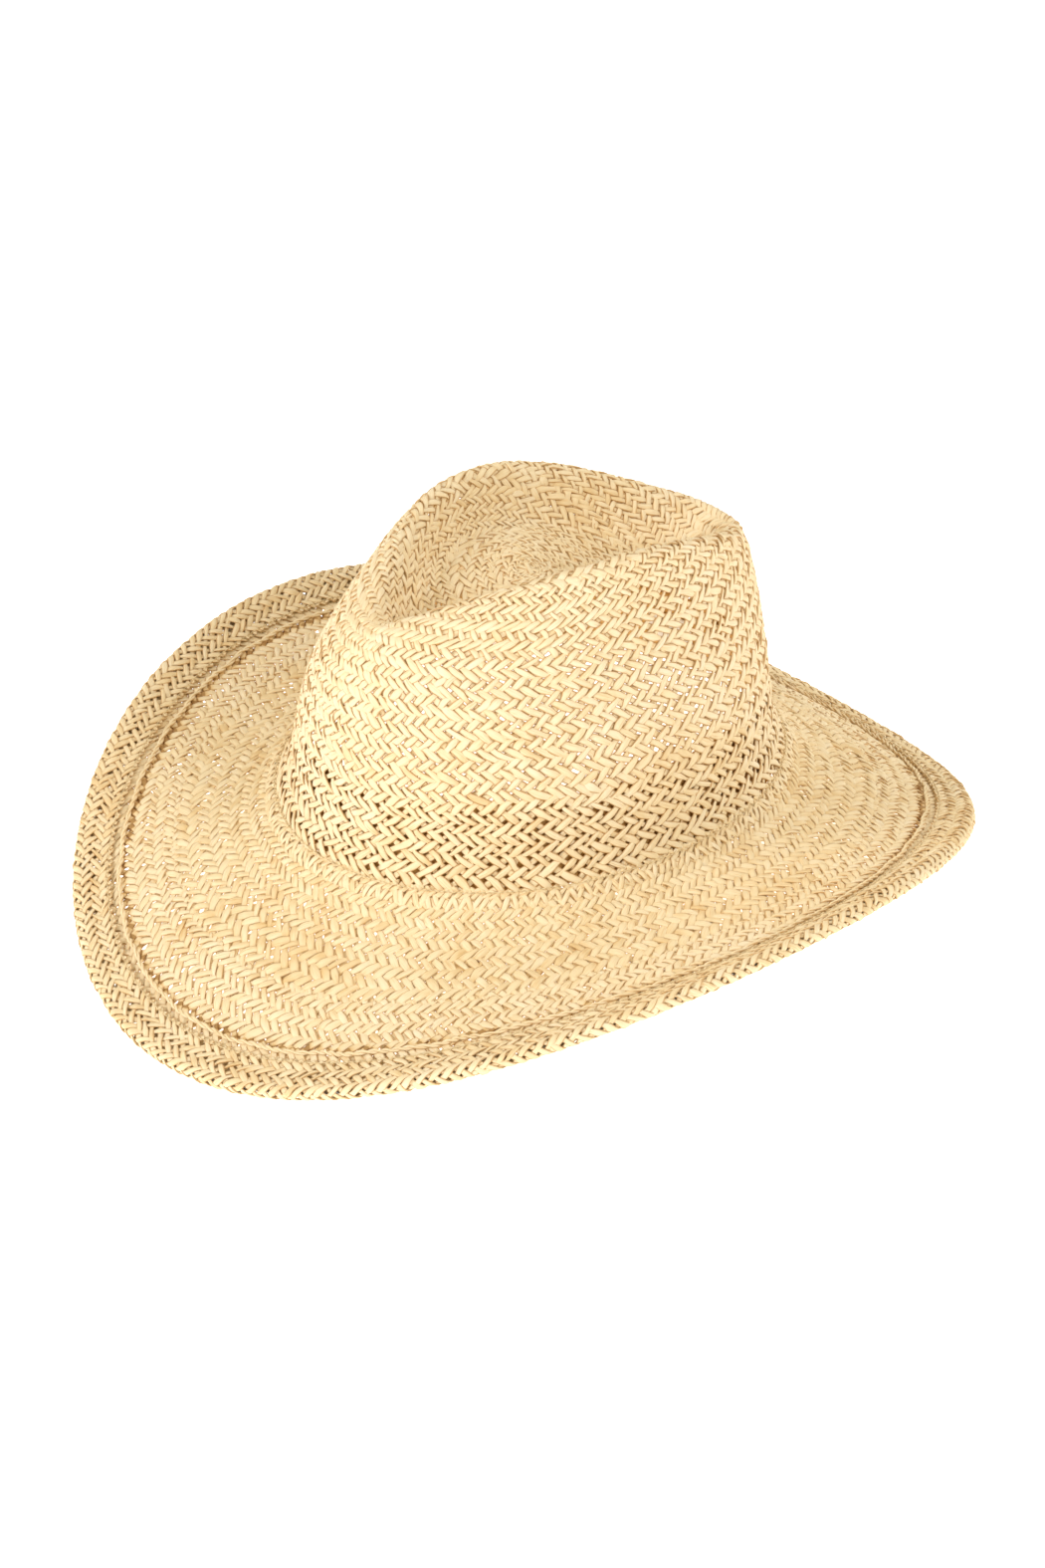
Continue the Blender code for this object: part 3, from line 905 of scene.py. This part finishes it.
def ribbed_material(name, base, dark, thread_pitch):
    """Woven ribbon: fine threads across the ribs, with painted shade between them, and a heathered
    tone.
    """
    nodes = Nodes(name)
    fibre = nodes.attribute("fibre", "Vector")
    rows = nodes.scaled(fibre, (0.0, 1 / thread_pitch / 3.2, 0.0))
    threads = nodes.add("ShaderNodeTexWave", Vector=rows, Scale=1.0)
    threads.bands_direction = "Y"
    threads.inputs["Distortion"].default_value = 0.6
    heather = nodes.noise(nodes.scaled(fibre, (700.0, 2600.0, 700.0)), 1.0, 3.0)
    wide = nodes.noise(fibre, 35.0, 2.0)
    share = nodes.remap(heather, 0.3, 0.7, 0, 0.5)
    share = nodes.maths("ADD", share, nodes.remap(wide, 0.3, 0.7, 0, 0.4))
    color = nodes.mix(share, base, dark)
    # painted shade between the threads
    color = nodes.mix(nodes.remap(threads.outputs["Fac"], 0, 0.5, 0.35, 0), color, dark)
    nodes.set(nodes.shader, "Base Color", color)
    nodes.set(nodes.shader, "Roughness", nodes.remap(heather, 0.3, 0.7, 0.75, 0.95))
    nodes.bump(nodes.maths("ADD", threads.outputs["Fac"], heather), 0.5, 0.00012)
    return nodes.material


def thread_material(name, base, dark):
    """Sewing thread: painted shade in the grooves between its plies."""
    nodes = Nodes(name)
    fibre = nodes.attribute("fibre", "Vector")
    twist = nodes.add(
        "ShaderNodeTexWave", Vector=nodes.scaled(fibre, (260.0, 260.0, 260.0)), Scale=1.0
    )
    twist.bands_direction = "DIAGONAL"
    nodes.set(nodes.shader, "Base Color", nodes.mix(twist.outputs["Fac"], dark, base))
    nodes.set(nodes.shader, "Roughness", 0.6)
    nodes.bump(twist.outputs["Fac"], 0.5, 0.0001)
    return nodes.material


def metal_material(name, base, roughness):
    """Drawn or crimped steel with faint marks along its length."""
    nodes = Nodes(name)
    fibre = nodes.attribute("fibre", "Vector")
    marks = nodes.noise(nodes.scaled(fibre, (60.0, 4000.0, 4000.0)), 1.0, 3.0)
    dull = tuple(0.7 * channel for channel in base)
    color = nodes.mix(nodes.remap(marks, 0.35, 0.65, 0, 1), base, dull)
    nodes.set(nodes.shader, "Base Color", color)
    nodes.set(nodes.shader, "Metallic", 1.0)
    rough = nodes.remap(marks, 0.3, 0.7, roughness - 0.08, roughness + 0.1)
    nodes.set(nodes.shader, "Roughness", rough)
    return nodes.material


# ---------------------------------------------------------------- the hat


straw = straw_material("paper straw", 0.85)
cord_straw = straw_material("paper cord", 0.6)
thread = thread_material("sewing thread", (0.88, 0.74, 0.48), (0.66, 0.50, 0.27))
ribbon = ribbed_material("ribbed ribbon", (0.72, 0.42, 0.14), (0.52, 0.28, 0.08), 0.0005)
tab_cloth = ribbed_material("tab cloth", (0.50, 0.33, 0.16), (0.34, 0.20, 0.09), 0.0004)
label_cloth = ribbed_material("label satin", (0.88, 0.86, 0.80), (0.74, 0.71, 0.64), 0.0003)
steel = metal_material("spring steel", (0.60, 0.60, 0.62), 0.34)
sleeve_steel = metal_material("crimped steel", (0.64, 0.64, 0.65), 0.40)

for zone in ZONES:
    weave_zone(zone, straw)
tip_star(straw)
locking_row(straw)
hem_edge_cord(cord_straw)
wire_and_joiner(steel, sleeve_steel)

above = CLOTH / 2 + GAP + THREAD_RADIUS
HEM_STITCHES = 320
BAND_STITCHES = 180
HEM_THREAD_HEIGHT = 0.00095
stitched_ring(
    "hem_stitches_top",
    lambda angle: hem_point(angle, HEM_SEAM, HEM_THREAD_HEIGHT),
    lambda angle: cloth_frame(angle, brim_place(angle, HEM_SEAM))[2],
    HEM_STITCHES,
    thread,
    "hem_needle_thread",
    0.0007,
)
stitched_ring(
    "hem_stitches_under",
    lambda angle: lifted(angle, brim_place(angle, HEM_SEAM), -above),
    lambda angle: -cloth_frame(angle, brim_place(angle, HEM_SEAM))[2],
    HEM_STITCHES,
    thread,
    "hem_bobbin_thread",
    0.0007,
)
band_face = band_depth(BAND / 2 + GAP + THREAD_RADIUS)
band_needle = stitched_ring(
    "sweatband_stitches_inside",
    lambda angle: lifted(angle, np.full_like(angle, BAND_SEAM), band_face),
    lambda angle: -cloth_frame(angle, np.full_like(angle, BAND_SEAM))[2],
    BAND_STITCHES,
    thread,
    "sweatband_needle_thread",
    0.0005,
)
band_bobbin = stitched_ring(
    "sweatband_stitches_outside",
    lambda angle: lifted(angle, np.full_like(angle, CROWN_SEAM), above),
    lambda angle: cloth_frame(angle, np.full_like(angle, CROWN_SEAM))[2],
    BAND_STITCHES,
    thread,
    "sweatband_bobbin_thread",
    0.0007,
)
band = sweatband(ribbon)
tab = patch(
    "sweatband_seam_tab",
    (BACK - TAB_HALF_ANGLE, BACK + TAB_HALF_ANGLE),
    TAB_PLACES,
    band_depth(BAND / 2 + LOOSE + TAB / 2),
    TAB,
    tab_cloth,
    "tab_cloth",
    "sweatband_tab",
)
label = patch(
    "blank_label",
    LABEL_ANGLES,
    LABEL_PLACES,
    band_depth(BAND / 2 + LOOSE + LABEL / 2),
    LABEL,
    label_cloth,
    "label_cloth",
    "size_label",
)


# ---------------------------------------------------------------- floor, light and camera


def add_floor():
    """A wide white light table, just under the hat."""
    mesh = bpy.data.meshes.new("floor")
    half = 60.0
    mesh.from_pydata(
        [(-half, -half, 0), (half, -half, 0), (half, half, 0), (-half, half, 0)],
        [],
        [(0, 1, 2, 3)],
    )
    nodes = Nodes("light table")
    nodes.set(nodes.shader, "Base Color", (0.9, 0.9, 0.9, 1))
    nodes.set(nodes.shader, "Roughness", 0.9)
    nodes.set(nodes.shader, "Emission_Color", (1, 1, 1, 1))
    nodes.set(nodes.shader, "Emission_Strength", 0.85)
    mesh.materials.append(nodes.material)
    floor = bpy.data.objects.new("floor", mesh)
    bpy.context.scene.collection.objects.link(floor)
    floor.location.z = -0.0005


def add_area_light(name, position, size, power, target=(0, 0, 0.08)):
    light = bpy.data.lights.new(name, "AREA")
    light.shape = "DISK"
    light.size = size
    light.energy = power
    obj = bpy.data.objects.new(name, light)
    obj.location = position
    aim = Vector(target) - Vector(position)
    obj.rotation_euler = aim.to_track_quat("-Z", "Y").to_euler()
    bpy.context.scene.collection.objects.link(obj)


def add_world(strength, color):
    """A warm room light from all round, on a backdrop that the camera sees as plain white."""
    world = bpy.data.worlds.new("studio")
    world.use_nodes = True
    nodes = world.node_tree.nodes
    links = world.node_tree.links
    room = nodes["Background"]
    room.inputs["Color"].default_value = (*color, 1)
    room.inputs["Strength"].default_value = strength
    backdrop = nodes.new("ShaderNodeBackground")
    backdrop.inputs["Color"].default_value = (1, 1, 1, 1)
    choice = nodes.new("ShaderNodeMixShader")
    links.new(nodes.new("ShaderNodeLightPath").outputs["Is Camera Ray"], choice.inputs[0])
    links.new(room.outputs[0], choice.inputs[1])
    links.new(backdrop.outputs[0], choice.inputs[2])
    links.new(choice.outputs[0], nodes["World Output"].inputs["Surface"])
    bpy.context.scene.world = world


def add_camera():
    """A camera that is turned and raised by these angles from a look along +Y, and rolled."""
    azimuth = math.radians(47.47)
    elevation = math.radians(32.36)
    roll = math.radians(2.14)
    distance = 1.360
    target = Vector((0, 0, REST_HEIGHT))
    right = Vector((math.cos(azimuth), math.sin(azimuth), 0))
    forward = Vector(
        (
            -math.sin(azimuth) * math.cos(elevation),
            math.cos(azimuth) * math.cos(elevation),
            -math.sin(elevation),
        )
    )
    up = right.cross(forward)
    rolled_right = right * math.cos(roll) + up * math.sin(roll)
    rolled_up = up * math.cos(roll) - right * math.sin(roll)
    camera = bpy.data.cameras.new("camera")
    camera.sensor_width = 36
    camera.lens = 81.6
    camera.shift_x = -0.0068
    camera.shift_y = -0.0093
    obj = bpy.data.objects.new("camera", camera)
    matrix = Matrix((rolled_right, rolled_up, -forward)).transposed().to_4x4()
    matrix.translation = target - distance * forward
    obj.matrix_world = matrix
    bpy.context.scene.collection.objects.link(obj)
    bpy.context.scene.camera = obj


add_floor()
add_world(0.45, (1.0, 0.84, 0.58))
add_area_light("key", (-0.4, -2.0, 0.92), 1.0, 24)
add_area_light("right", (1.9, 0.1, 1.4), 0.9, 16)
add_area_light("back", (-0.6, 2.0, 1.0), 1.2, 9)
add_area_light("top", (0.3, 0.3, 2.0), 1.4, 7)
add_camera()
bpy.context.scene.view_settings.view_transform = "Standard"
bpy.context.scene.view_settings.look = "None"
